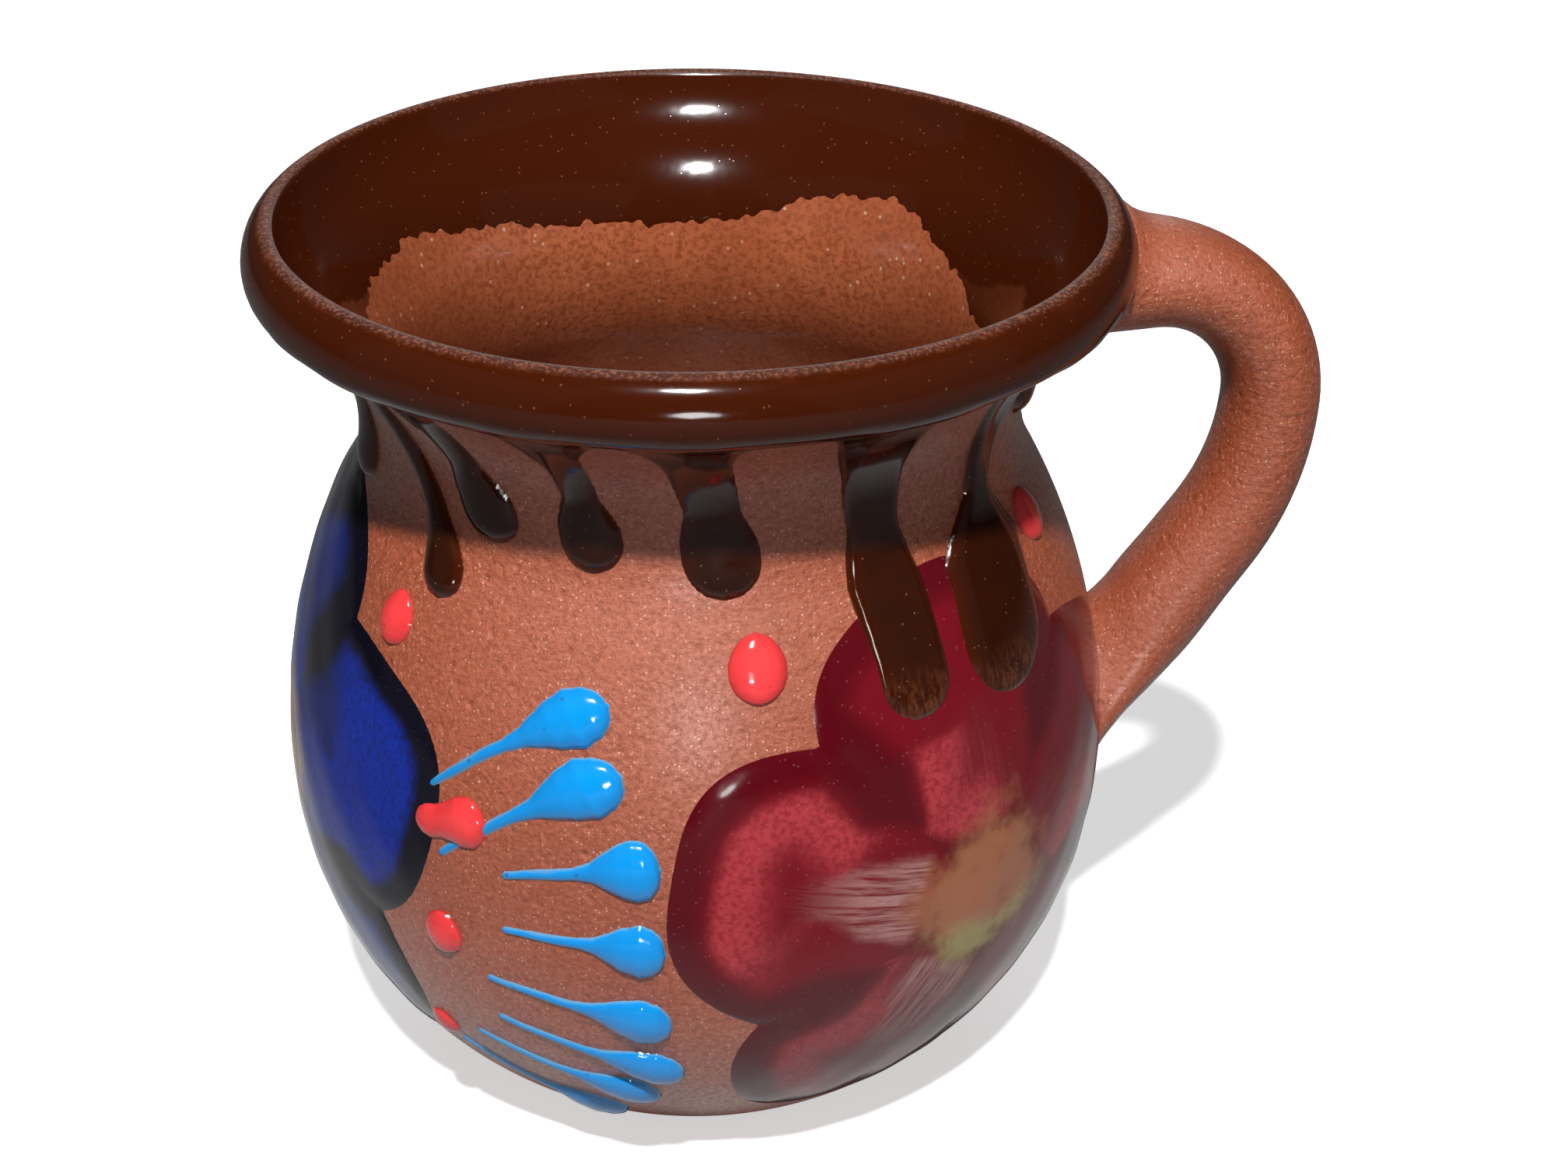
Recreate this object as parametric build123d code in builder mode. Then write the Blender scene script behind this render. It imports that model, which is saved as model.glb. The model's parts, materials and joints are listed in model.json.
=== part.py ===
"""Jarrito: a small round clay mug with a rolled lip, a luted handle, a dipped brown rim
that has run down the neck, and raised folk flowers, teardrops and dots in coloured glaze.

Millimetres, +Z up.  The origin is the middle of the flat foot, the handle points along +X
and the painted front looks along -Y.
"""
import math
import os

from build123d import *

# thrown body, seen as arcs that run into one another
belly_radius = 46.0
foot_radius = 27.5
shoulder_arc = 70.0
neck_radius = 35.0
neck_arc = 15.4
flare_angle = 66.5
lip_round = 2.5
lip_turn = 60.0
lip_rise = 6.7
crest_radius = 43.6
crest_land = 0.8
mouth_angle = 50.0
wall = 3.2
floor_height = 5.0
floor_round = 8.0
foot_round = 1.2

# pulled handle, an oval rope of clay that spreads at both ends
handle_top_drop = 8.2
handle_shoulder = 13.0
handle_bend = 14.5
handle_sweep = 32.0
handle_sweep_turn = 32.0
handle_tail = 19.0
handle_toe = 26.0
handle_toe_turn = 22.0
handle_thick = 10.5
handle_width = 14.0

# glaze films
rim_film = 0.4
bowl_film = 0.25
petal_film = 0.5
inner_line_drop = 16.0
tip_sink = 0.35

# five-petal flowers, sized with the belly
petal_count = 5
petal_radius = 0.36 * belly_radius
petal_reach = 0.435 * belly_radius
petal_turn = 93.0
eye_radius = 0.196 * belly_radius

# places that follow from the sizes above
belly_z = math.sqrt(belly_radius**2 - foot_radius**2)
shoulder_x = belly_radius - shoulder_arc
neck_x = neck_radius + neck_arc
neck_z = belly_z + math.sqrt((shoulder_arc + neck_arc) ** 2 - (neck_x - shoulder_x) ** 2)
blend_angle = math.asin((neck_z - belly_z) / (shoulder_arc + neck_arc))
shoulder_run = shoulder_arc * blend_angle
flare = math.radians(flare_angle)
mouth = math.radians(mouth_angle)
lip_run = shoulder_run + neck_arc * (blend_angle + flare)
rim_z = neck_z + neck_arc * math.sin(flare) + lip_rise
inner_line_z = rim_z - inner_line_drop

# the lip: a curl under it, a tall face outside it and a funnel inside it, each an arc
curl_x = neck_x - (neck_arc + lip_round) * math.cos(flare)
curl_z = neck_z + (neck_arc + lip_round) * math.sin(flare)
curl_end = math.radians(lip_turn) - flare
face_run_x = crest_radius - curl_x - lip_round * math.cos(curl_end)
face_run_z = rim_z - curl_z - lip_round * math.sin(curl_end)
face_lean = face_run_x * math.cos(curl_end) + face_run_z * math.sin(curl_end)
face_arc = -(face_run_x**2 + face_run_z**2) / (2 * face_lean)
face_x = curl_x + (lip_round - face_arc) * math.cos(curl_end)
face_z = curl_z + (lip_round - face_arc) * math.sin(curl_end)
face_end = math.atan2((rim_z - face_z) / face_arc, (crest_radius - face_x) / face_arc)
edge_x = crest_radius - crest_land
throat_x = neck_x - (neck_arc + wall) * math.cos(mouth)
throat_z = neck_z + (neck_arc + wall) * math.sin(mouth)
funnel_run_x = edge_x - throat_x
funnel_run_z = rim_z - throat_z
funnel_lean = funnel_run_z * math.sin(mouth) - funnel_run_x * math.cos(mouth)
funnel_arc = (funnel_run_x**2 + funnel_run_z**2) / (2 * funnel_lean)
funnel_x = throat_x - funnel_arc * math.cos(mouth)
funnel_z = throat_z + funnel_arc * math.sin(mouth)
funnel_end = math.atan2((rim_z - funnel_z) / funnel_arc, (edge_x - funnel_x) / funnel_arc)


def arc_about(x, z, radius, start, end):
    """An arc about a centre, from one angle to another."""
    turns = (start, (start + end) / 2, end)
    ThreePointArc(*[(x + radius * math.cos(turn), z + radius * math.sin(turn)) for turn in turns])


def filled_line(grow):
    """The outline of the mug filled up solid, grown outwards by a film."""
    low = belly_radius + grow
    foot_turn = math.asin(belly_z / low)
    top = rim_z + grow
    Line((0, 0), (low * math.cos(foot_turn), 0))
    arc_about(0, belly_z, low, -foot_turn, 0)
    arc_about(shoulder_x, belly_z, shoulder_arc + grow, 0, blend_angle)
    arc_about(neck_x, neck_z, neck_arc - grow, math.pi + blend_angle, math.pi - flare)
    arc_about(curl_x, curl_z, lip_round + grow, -flare, curl_end)
    arc_about(face_x, face_z, face_arc + grow, curl_end, face_end)
    if grow > 0:
        face_top_x = face_x + (face_arc + grow) * math.cos(face_end)
        face_top_z = face_z + (face_arc + grow) * math.sin(face_end)
        Line((face_top_x, face_top_z), (crest_radius, top))
    Line((crest_radius, top), (0, top))
    Line((0, top), (0, 0))


def cavity_line(film):
    """The outline of the hollow inside, drawn in by a film."""
    depth = wall + film
    low = belly_radius - depth
    bottom = floor_height + film
    cove = floor_round - film
    cove_x = math.sqrt((low - cove) ** 2 - (belly_z - bottom - cove) ** 2)
    dip = math.atan2(belly_z - bottom - cove, cove_x)
    top = rim_z + film
    Line((0, top), (edge_x, top))
    if film > 0:
        funnel_top_x = funnel_x + (funnel_arc - film) * math.cos(funnel_end)
        funnel_top_z = funnel_z + (funnel_arc - film) * math.sin(funnel_end)
        Line((edge_x, top), (funnel_top_x, funnel_top_z))
    arc_about(funnel_x, funnel_z, funnel_arc - film, funnel_end, -mouth)
    arc_about(neck_x, neck_z, neck_arc + depth, math.pi - mouth, math.pi + blend_angle)
    arc_about(shoulder_x, belly_z, shoulder_arc - depth, blend_angle, 0)
    arc_about(0, belly_z, low, 0, -dip)
    arc_about(cove_x, bottom + cove, cove, -dip, -math.pi / 2)
    Line((cove_x, bottom), (0, bottom))
    Line((0, bottom), (0, top))


def meridian(run):
    """Radius, height and upward direction of the outside, run mm up the wall from the belly."""
    if run <= 0:
        turn = run / belly_radius
        place = (belly_radius * math.cos(turn), belly_z + belly_radius * math.sin(turn))
        return place, (-math.sin(turn), math.cos(turn))
    if run <= shoulder_run:
        turn = run / shoulder_arc
        place = (shoulder_x + shoulder_arc * math.cos(turn), belly_z + shoulder_arc * math.sin(turn))
        return place, (-math.sin(turn), math.cos(turn))
    turn = (run - shoulder_run) / neck_arc - blend_angle
    place = (neck_x - neck_arc * math.cos(turn), neck_z + neck_arc * math.sin(turn))
    return place, (math.sin(turn), math.cos(turn))


def wall_plane(azimuth, run):
    """A plane that lies on the outside wall; azimuth 0 is the front, 90 the handle."""
    (radius, height), (along, rise) = meridian(run)
    turn = math.radians(azimuth)
    spoke = Vector(math.sin(turn), -math.cos(turn), 0)
    outward = spoke * rise - Vector(0, 0, along)
    return Plane(
        origin=spoke * radius + Vector(0, 0, height),
        x_dir=(math.cos(turn), math.sin(turn), 0),
        z_dir=outward,
    )


def trail_sections(stations, plumb):
    """Ovals across a trailed line of glaze; each station is azimuth, run, half width, half height.

    A plumb trail keeps its ovals level with the rim, any other turns them across its own line.
    """
    planes = [wall_plane(azimuth, run) for azimuth, run, width, height in stations]
    sections = []
    for index, (azimuth, run, width, height) in enumerate(stations):
        plane = planes[index]
        if width == 0:
            sections.append(Vertex(*(plane.origin - plane.z_dir * tip_sink)))
            continue
        before = planes[max(index - 1, 0)].origin
        after = planes[min(index + 1, len(planes) - 1)].origin
        along = -plane.y_dir if plumb else (after - before).normalized()
        side = along.cross(plane.z_dir)
        with BuildSketch(Plane(origin=plane.origin, x_dir=side, z_dir=along)) as oval:
            Ellipse(width, height)
        sections.append(oval.sketch)
    return sections


def touched(stations, pads):
    """The pads, each with azimuth, run and reach, that a trail of glaze comes near."""
    near = []
    for part, azimuth, run, reach in pads:
        for turn, height, width, rise in stations:
            across = math.radians((turn - azimuth + 180) % 360 - 180) * belly_radius
            if math.hypot(across, height - run) < reach + width and part not in near:
                near.append(part)
    return near


pieces = {}

# the mug filled up solid, which the applied pieces are cut back to
with BuildPart() as core:
    with BuildSketch(Plane.XZ):
        with BuildLine():
            filled_line(0)
        make_face()
    revolve(axis=Axis.Z)
filled = core.part

# the thrown clay wall with its flat foot and rolled lip
with BuildSketch(Plane.XZ) as clay_section:
    with BuildLine():
        filled_line(0)
    make_face()
    with BuildLine():
        cavity_line(0)
    make_face(mode=Mode.SUBTRACT)
with BuildPart() as clay_body:
    add(clay_section.sketch)
    revolve(axis=Axis.Z)
    fillet(clay_body.edges().sort_by(Axis.Z)[0], foot_round)
pieces["clay_body"] = clay_body.part

# the handle: ovals set across a line that leaves the lip, bends over and falls to the belly
handle_top_z = rim_z - handle_top_drop
with BuildLine(Plane.XZ) as rope:
    lead = Line((neck_radius + wall, handle_top_z), (neck_radius + handle_shoulder, handle_top_z))
    bend = JernArc(lead @ 1, lead % 1, handle_bend, -90)
    sweep_in = JernArc(bend @ 1, bend % 1, handle_sweep, -handle_sweep_turn)
    fall = Line(sweep_in @ 1, sweep_in @ 1 + (sweep_in % 1) * handle_tail)
    JernArc(fall @ 1, fall % 1, handle_toe, handle_toe_turn)
rope_wire = rope.wire()
handle_stations = [
    (0.0, 1.25, 1.45),
    (0.09, 1.1, 1.25),
    (0.2, 1.0, 1.02),
    (0.36, 1.0, 0.95),
    (0.52, 1.02, 0.98),
    (0.68, 1.05, 1.05),
    (0.8, 1.1, 1.2),
    (0.9, 0.95, 1.4),
    (1.0, 0.3, 1.2),
]
handle_ovals = []
for place, thick, width in handle_stations:
    with BuildSketch(Plane(origin=rope_wire @ place, x_dir=(0, 1, 0), z_dir=rope_wire % place)) as oval:
        Ellipse(handle_width * width / 2, handle_thick * thick / 2)
    handle_ovals.append(oval.sketch)
with BuildPart() as handle:
    loft(sections=handle_ovals)
    add(filled, mode=Mode.SUBTRACT)
pieces["handle"] = handle.part

# brown dip over the lip and down into the mouth, worn through where the handle joins
wall_middle = neck_arc + wall / 2
split_low = math.asin((inner_line_z - neck_z) / wall_middle)
with BuildPart() as rim_dip:
    with BuildSketch(Plane.XZ):
        with BuildLine():
            filled_line(rim_film)
        make_face()
        with BuildLine():
            cavity_line(rim_film)
        make_face(mode=Mode.SUBTRACT)
        add(clay_section.sketch_local, mode=Mode.SUBTRACT)
        with BuildLine():
            Polyline(
                (0, inner_line_z),
                (neck_x - wall_middle * math.cos(split_low), inner_line_z),
                (neck_x - wall_middle * math.cos(flare), neck_z + wall_middle * math.sin(flare)),
                (neck_x, neck_z),
                (2 * crest_radius, neck_z),
                (2 * crest_radius, 2 * rim_z),
                (0, 2 * rim_z),
                close=True,
            )
        make_face(mode=Mode.INTERSECT)
    revolve(axis=Axis.Z)
with BuildPart() as rim_glaze:
    add(rim_dip.part)
    add(handle.part, mode=Mode.SUBTRACT)
pieces["rim_glaze"] = rim_glaze.part

# clear glaze that lines the bowl up to the brown
with BuildPart() as bowl_glaze:
    with BuildSketch(Plane.XZ):
        with BuildLine():
            cavity_line(0)
        make_face()
        with BuildLine():
            cavity_line(bowl_film)
        make_face(mode=Mode.SUBTRACT)
        with Locations((0, inner_line_z / 2)):
            Rectangle(4 * belly_radius, inner_line_z, mode=Mode.INTERSECT)
    revolve(axis=Axis.Z)
pieces["bowl_glaze"] = bowl_glaze.part

# an even film over the whole outside wall, which the flower petals are cut from
with BuildPart() as wall_film:
    with BuildSketch(Plane.XZ):
        with BuildLine():
            filled_line(petal_film)
        make_face()
        with BuildLine():
            filled_line(0)
        make_face(mode=Mode.SUBTRACT)
    revolve(axis=Axis.Z)

# flowers: name, azimuth and height of the eye, and 1 or -1 for the way the petals turn
# (heights up the wall are shares of the belly's radius, as are all the ornament's sizes below)
flowers = [("red", 40.0, 0.02, 1), ("blue", -80.0, 0.065, 1), ("rear", 140.0, 0.02, -1)]
flower_pads = []
for colour, azimuth, height, hand in flowers:
    run = height * belly_radius
    with BuildPart() as eye:
        with BuildSketch(wall_plane(azimuth, run)):
            Circle(eye_radius)
        extrude(amount=petal_radius / 2, both=True)
        add(wall_film.part, mode=Mode.INTERSECT)
    pieces[f"{colour}_flower_eye"] = eye.part
    with BuildPart() as petals:
        for number in range(petal_count):
            turn = math.radians(petal_turn + 360 / petal_count * number)
            step = math.degrees(hand * petal_reach * math.cos(turn) / belly_radius)
            with BuildSketch(wall_plane(azimuth + step, run + petal_reach * math.sin(turn))):
                Circle(petal_radius)
            extrude(amount=petal_radius / 2, both=True)
        add(wall_film.part, mode=Mode.INTERSECT)
        add(eye.part, mode=Mode.SUBTRACT)
        add(handle.part, mode=Mode.SUBTRACT)
    flower_pads.append((petals.part, azimuth, run, petal_reach + petal_radius))
    pieces[f"{colour}_flower_petals"] = petals.part

# runs of brown glaze: azimuth at the lip and at the end, the end as a share of the way from the
# belly up to the lip, and the half widths of neck and bulb
drips = [
    (-72.0, -73.0, 0.621, 0.065, 0.078),
    (-49.0, -42.0, 0.538, 0.052, 0.063),
    (-33.0, -35.0, 0.661, 0.070, 0.078),
    (-16.0, -16.3, 0.644, 0.050, 0.059),
    (3.0, 4.3, 0.604, 0.065, 0.072),
    (27.0, 31.0, 0.378, 0.065, 0.104),
    (51.0, 49.0, 0.348, 0.059, 0.122),
    (69.5, 70.0, 0.720, 0.054, 0.063),
    (113.0, 112.0, 0.612, 0.061, 0.072),
    (133.0, 134.0, 0.451, 0.057, 0.096),
    (155.0, 153.0, 0.661, 0.065, 0.074),
    (177.0, 178.0, 0.564, 0.054, 0.065),
    (200.0, 202.0, 0.644, 0.061, 0.072),
    (222.0, 221.0, 0.500, 0.057, 0.083),
    (247.0, 249.0, 0.637, 0.067, 0.076),
]
drip_rise = 1.0
drip_bulb_rise = 1.7
drip_pads = []
for number, (start, end, low_share, neck_share, bulb_share) in enumerate(drips, 1):
    neck_half = neck_share * belly_radius
    bulb_half = bulb_share * belly_radius
    top_run = lip_run + drip_rise
    low_run = low_share * lip_run
    length = top_run - low_run
    bulb_place = 1 - 1.25 * bulb_half / length
    drip_shape = [
        (0.0, 1.9 * neck_half, drip_rise),
        (0.12, 1.4 * neck_half, drip_rise),
        (0.25, 1.1 * neck_half, drip_rise),
        (0.4, neck_half, drip_rise),
        (0.2 + bulb_place / 2, neck_half, drip_rise),
        (bulb_place, bulb_half, drip_bulb_rise),
        (1 - 0.3 * bulb_half / length, 0.72 * bulb_half, 0.8 * drip_bulb_rise),
        (1.0, 0, 0),
    ]
    stations = []
    for share, half, rise in drip_shape:
        stations.append((start + (end - start) * share, top_run - length * share, half, rise))
    with BuildPart() as drip:
        loft(sections=trail_sections(stations, True))
        add(filled, mode=Mode.SUBTRACT)
        add(rim_dip.part, mode=Mode.SUBTRACT)
        for pad in touched(stations, flower_pads):
            add(pad, mode=Mode.SUBTRACT)
    drip_pads.append((drip.part, end, low_run + bulb_half, 2 * bulb_half))
    pieces[f"glaze_drip_{number}"] = drip.part

# teardrops: azimuth and height of the thin tail, azimuth and height of the round tip, half width
teardrops = [
    (-37.0, 0.322, -13.3, 0.591, 0.057),
    (-35.0, 0.165, -10.8, 0.443, 0.059),
    (-25.5, 0.165, -4.9, 0.235, 0.061),
    (-25.7, 0.024, -4.3, 0.020, 0.057),
    (-28.7, -0.130, -3.9, -0.200, 0.057),
    (-28.3, -0.259, -3.1, -0.391, 0.054),
    (-33.5, -0.365, -7.4, -0.522, 0.054),
    (-39.0, -0.465, -15.0, -0.685, 0.052),
]
teardrop_shape = [(0.0, 0), (0.06, 0.24), (0.4, 0.4), (0.7, 0.75), (0.86, 1.0), (0.96, 0.7), (1.0, 0)]
raise_share = 0.5
teardrop_pads = []
for side, mirrored in [("front", False), ("back", True)]:
    for number, (tail_turn, tail_share, tip_turn, tip_share, half_share) in enumerate(teardrops, 1):
        stations = []
        for share, swell in teardrop_shape:
            turn = tail_turn + (tip_turn - tail_turn) * share
            run = (tail_share + (tip_share - tail_share) * share) * belly_radius
            width = half_share * belly_radius * swell
            stations.append((180 - turn if mirrored else turn, run, width, raise_share * width))
        with BuildPart() as teardrop:
            loft(sections=trail_sections(stations, False))
            add(filled, mode=Mode.SUBTRACT)
            for pad in touched(stations, flower_pads):
                add(pad, mode=Mode.SUBTRACT)
        for turn, run, width, rise in stations[1:-1]:
            teardrop_pads.append((teardrop.part, turn, run, 2 * half_share * belly_radius))
        pieces[f"teardrop_{side}_{number}"] = teardrop.part

# dots: azimuth, height, half width and half height of each dab
dots = [
    (-48.8, 0.643, 0.052, 0.063),
    (8.4, 0.670, 0.063, 0.076),
    (67.0, 0.761, 0.057, 0.065),
    (-34.3, 0.248, 0.048, 0.057),
    (-34.9, -0.043, 0.052, 0.057),
    (-41.0, -0.417, 0.041, 0.046),
]
dot_shape = [(0.0, 0), (0.1, 0.6), (0.5, 1.0), (0.9, 0.6), (1.0, 0)]
for side, mirrored in [("front", False), ("back", True)]:
    for number, (azimuth, height_share, half_share, tall_share) in enumerate(dots, 1):
        turn = 180 - azimuth if mirrored else azimuth
        stations = []
        for share, swell in dot_shape:
            width = half_share * belly_radius * swell
            run = (height_share + tall_share * (2 * share - 1)) * belly_radius
            stations.append((turn, run, width, raise_share * width))
        with BuildPart() as dot:
            loft(sections=trail_sections(stations, False))
            add(filled, mode=Mode.SUBTRACT)
            for pad in touched(stations, flower_pads + drip_pads + teardrop_pads):
                add(pad, mode=Mode.SUBTRACT)
        pieces[f"red_dot_{side}_{number}"] = dot.part

os.makedirs("parts", exist_ok=True)
for name, part in pieces.items():
    part.label = name
    export_step(part, f"parts/{name}.step")
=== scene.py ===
# %% [markdown]
# # A jarrito: a round clay mug with a dipped rim and raised flowers
# The mug is terracotta, thrown on a wheel.  A pulled handle is luted on, the lip is dipped in
# brown glaze that runs down the neck, and flowers, teardrops and dots are laid on in thick
# coloured glaze.  The packed solids give the frame; this lesson dresses them for the eye.

# %% Load the packed mug
import bpy
import json
import math
import numpy as np
from mathutils import Matrix, Vector

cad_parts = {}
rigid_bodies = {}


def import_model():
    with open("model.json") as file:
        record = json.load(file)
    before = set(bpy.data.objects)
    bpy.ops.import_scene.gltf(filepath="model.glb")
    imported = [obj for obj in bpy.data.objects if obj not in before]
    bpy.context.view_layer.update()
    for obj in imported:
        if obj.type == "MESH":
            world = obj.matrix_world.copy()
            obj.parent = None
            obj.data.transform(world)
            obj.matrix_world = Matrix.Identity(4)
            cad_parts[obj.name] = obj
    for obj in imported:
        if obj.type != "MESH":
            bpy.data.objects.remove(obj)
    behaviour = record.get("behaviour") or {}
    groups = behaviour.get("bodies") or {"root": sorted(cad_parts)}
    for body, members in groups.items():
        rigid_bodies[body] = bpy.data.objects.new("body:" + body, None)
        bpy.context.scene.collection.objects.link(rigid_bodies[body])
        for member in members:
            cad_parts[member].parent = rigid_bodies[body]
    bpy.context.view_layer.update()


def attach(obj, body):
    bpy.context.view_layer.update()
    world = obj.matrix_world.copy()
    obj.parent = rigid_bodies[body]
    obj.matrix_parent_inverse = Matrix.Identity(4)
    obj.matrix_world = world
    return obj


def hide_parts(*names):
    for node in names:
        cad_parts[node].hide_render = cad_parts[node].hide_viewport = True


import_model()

# %% [markdown]
# ## The wall's outline
# The outside of the mug is a chain of arcs: a ball for the belly, a flatter arc for the
# shoulder, a hollow arc for the neck, a small curl and a tall arc for the lip.  It could be drawn
# by eye as a curve, but every film of glaze lies on it, so it is worked out once from the sizes
# of the wall.  Lengths are millimetres, and a run is the way up the wall from the widest line.

# %% Sizes of the thrown wall
belly_radius = 46.0
foot_radius = 27.5
shoulder_arc = 70.0
neck_radius = 35.0
neck_arc = 15.4
flare = math.radians(66.5)
mouth = math.radians(50.0)
lip_round = 2.5
lip_turn = math.radians(60.0)
lip_rise = 6.7
crest_radius = 43.6
crest_flat = 0.8
wall = 3.2
floor_height = 5.0
floor_round = 8.0
print("belly", 2 * belly_radius, "mm across, wall", wall, "mm thick")

# %% Where the arcs meet
belly_z = math.sqrt(belly_radius**2 - foot_radius**2)
shoulder_x = belly_radius - shoulder_arc
neck_x = neck_radius + neck_arc
neck_z = belly_z + math.sqrt((shoulder_arc + neck_arc) ** 2 - (neck_x - shoulder_x) ** 2)
blend = math.asin((neck_z - belly_z) / (shoulder_arc + neck_arc))
shoulder_run = shoulder_arc * blend
lip_run = shoulder_run + neck_arc * (blend + flare)
rim_z = neck_z + neck_arc * math.sin(flare) + lip_rise
deep_neck = neck_arc + wall
inner_ball = belly_radius - wall
cove_x = math.sqrt((inner_ball - floor_round) ** 2 - (belly_z - floor_height - floor_round) ** 2)
cove_turn = math.atan2(belly_z - floor_height - floor_round, cove_x)
print("neck at", round(neck_z, 2), "rim at", round(rim_z, 2), "lip run", round(lip_run, 2))


# %% Arcs
def arc(centre, radius, start, end, step=0.6):
    """Points along an arc, about one every step mm, as radius and height."""
    count = max(4, int(abs(end - start) * radius / step))
    turn = np.linspace(start, end, count + 1)
    return np.stack([centre[0] + radius * np.cos(turn), centre[1] + radius * np.sin(turn)], 1)


def tangent_arc(start, heading, end, step):
    """Points along the arc that leaves start in a heading and reaches end."""
    start, end = np.array(start), np.array(end)
    normal = np.array([-heading[1], heading[0]])
    chord = end - start
    reach = chord @ chord / (2 * chord @ normal)
    centre = start + normal * reach
    first = math.atan2(*(start - centre)[::-1])
    last = math.atan2(*(end - centre)[::-1])
    turn = (last - first + math.pi) % (2 * math.pi) - math.pi
    return arc(centre, abs(reach), first, first + turn, step)


def chain(*lines):
    """Join lines of points end to end, without doubling the joints."""
    points = [lines[0]]
    for line in lines[1:]:
        points.append(line[1:] if np.allclose(line[0], points[-1][-1], atol=1e-3) else line)
    return np.concatenate(points)


print("points on the belly's arc:", len(arc((0, belly_z), belly_radius, -cove_turn, 0)))

# %% The lip
under = np.array([neck_x - neck_arc * math.cos(flare), neck_z + neck_arc * math.sin(flare)])
curl_centre = under + lip_round * np.array([-math.cos(flare), math.sin(flare)])
curl = arc(curl_centre, lip_round, -flare, -flare + lip_turn, 0.4)
lean = math.pi / 2 - flare + lip_turn
face = tangent_arc(curl[-1], (math.cos(lean), math.sin(lean)), (crest_radius, rim_z), 0.35)
throat = np.array([neck_x - deep_neck * math.cos(mouth), neck_z + deep_neck * math.sin(mouth)])
crest_inside = (crest_radius - crest_flat, rim_z)
flare_in = tangent_arc(throat, (math.sin(mouth), math.cos(mouth)), crest_inside, 0.4)[::-1]
print("lip points:", len(curl) + len(face) + len(flare_in))

# %% The outline itself
foot_ease = 0.05
outer = chain(
    arc((0, belly_z), belly_radius, -math.asin(belly_z / belly_radius) + foot_ease, 0),
    arc((shoulder_x, belly_z), shoulder_arc, 0, blend),
    arc((neck_x, neck_z), neck_arc, math.pi + blend, math.pi - flare),
    curl,
    face,
)
inner = chain(
    flare_in,
    arc((neck_x, neck_z), deep_neck, math.pi - mouth, math.pi + blend),
    arc((shoulder_x, belly_z), shoulder_arc - wall, blend, 0),
    arc((0, belly_z), inner_ball, 0, -cove_turn),
    arc((cove_x, floor_height + floor_round), floor_round, -cove_turn, -math.pi / 2),
    np.array([[cove_x, floor_height], [cove_x * 0.5, floor_height], [0.0, floor_height]]),
)
foot = np.array([[0.0, 0.0], [14.0, 0.0], [foot_radius - 2.0, 0.0], [foot_radius - 0.6, 0.25]])
print("outline points:", len(outer), "outside,", len(inner), "inside")

# %% [markdown]
# ## Helpers that work as a hand would
# A clean start (nothing selected), a spun shape from an outline, and a grid that is wrapped
# round the wall.  A film of glaze is such a grid: it stands proud where the glaze is thick and
# sinks under the clay where there is none, so its edge is the line where the two meet.  A film
# cut out with a boolean would have a harder edge than melted glaze.

# %% A clean start and a seat on the mug
MM = 0.001


def fresh():
    """Leave edit mode and select nothing."""
    if bpy.context.object and bpy.context.object.mode != "OBJECT":
        bpy.ops.object.mode_set(mode="OBJECT")
    bpy.ops.object.select_all(action="DESELECT")


def named(name):
    """The object that was just added, with its name and its mesh's name."""
    piece = bpy.context.object
    piece.name = name
    piece.data.name = name
    return piece


def seat(piece, slot, *nodes):
    """Attach the piece to the root body and hide the nodes it stands for; the slot is not used."""
    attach(piece, "root")
    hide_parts(*nodes)


def points_of(mesh):
    """The mesh's points as rows of x, y and z."""
    flat = np.empty(len(mesh.vertices) * 3)
    mesh.vertices.foreach_get("co", flat)
    return flat.reshape(-1, 3)


print("lengths in mm are scaled by", MM)

# %% Spin an outline
spin_steps = 240
crease = math.radians(50)


def spun(name, points):
    """Spin an outline (radius, height in mm) about the mug's axis into a closed shape."""
    fresh()
    bpy.ops.mesh.primitive_plane_add(size=1)
    piece = named(name)
    edges = [(i, i + 1) for i in range(len(points) - 1)]
    piece.data.clear_geometry()
    piece.data.from_pydata([(r * MM, 0, z * MM) for r, z in points], edges, [])
    bpy.ops.object.mode_set(mode="EDIT")
    bpy.ops.mesh.select_all(action="SELECT")
    bpy.ops.mesh.spin(steps=spin_steps, angle=2 * math.pi, center=(0, 0, 0), axis=(0, 0, 1))
    bpy.ops.mesh.select_all(action="SELECT")
    bpy.ops.mesh.remove_doubles(threshold=0.00002)
    bpy.ops.mesh.normals_make_consistent(inside=False)
    bpy.ops.object.mode_set(mode="OBJECT")
    bpy.ops.object.shade_smooth_by_angle(angle=crease)
    return piece


print("a spun shape has", spin_steps, "steps")

# %% Wrap a film
# a film goes no deeper into the clay than deepest, and its faces below cut_depth are removed
deepest = -0.5
cut_depth = -0.1


def carry(mesh, label, values):
    """Write a number or a vector on each point of a mesh."""
    if values.ndim == 1:
        kind, field = "FLOAT", "value"
    else:
        kind, field = "FLOAT_VECTOR", "vector"
    layer = mesh.attributes.new(label, kind, "POINT")
    layer.data.foreach_set(field, np.ascontiguousarray(values, dtype=float).ravel())


def select_faces(mesh, mask):
    """Select just the masked faces of a mesh."""
    mesh.vertices.foreach_set("select", np.zeros(len(mesh.vertices), dtype=bool))
    mesh.edges.foreach_set("select", np.zeros(len(mesh.edges), dtype=bool))
    mesh.polygons.foreach_set("select", mask)


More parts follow.
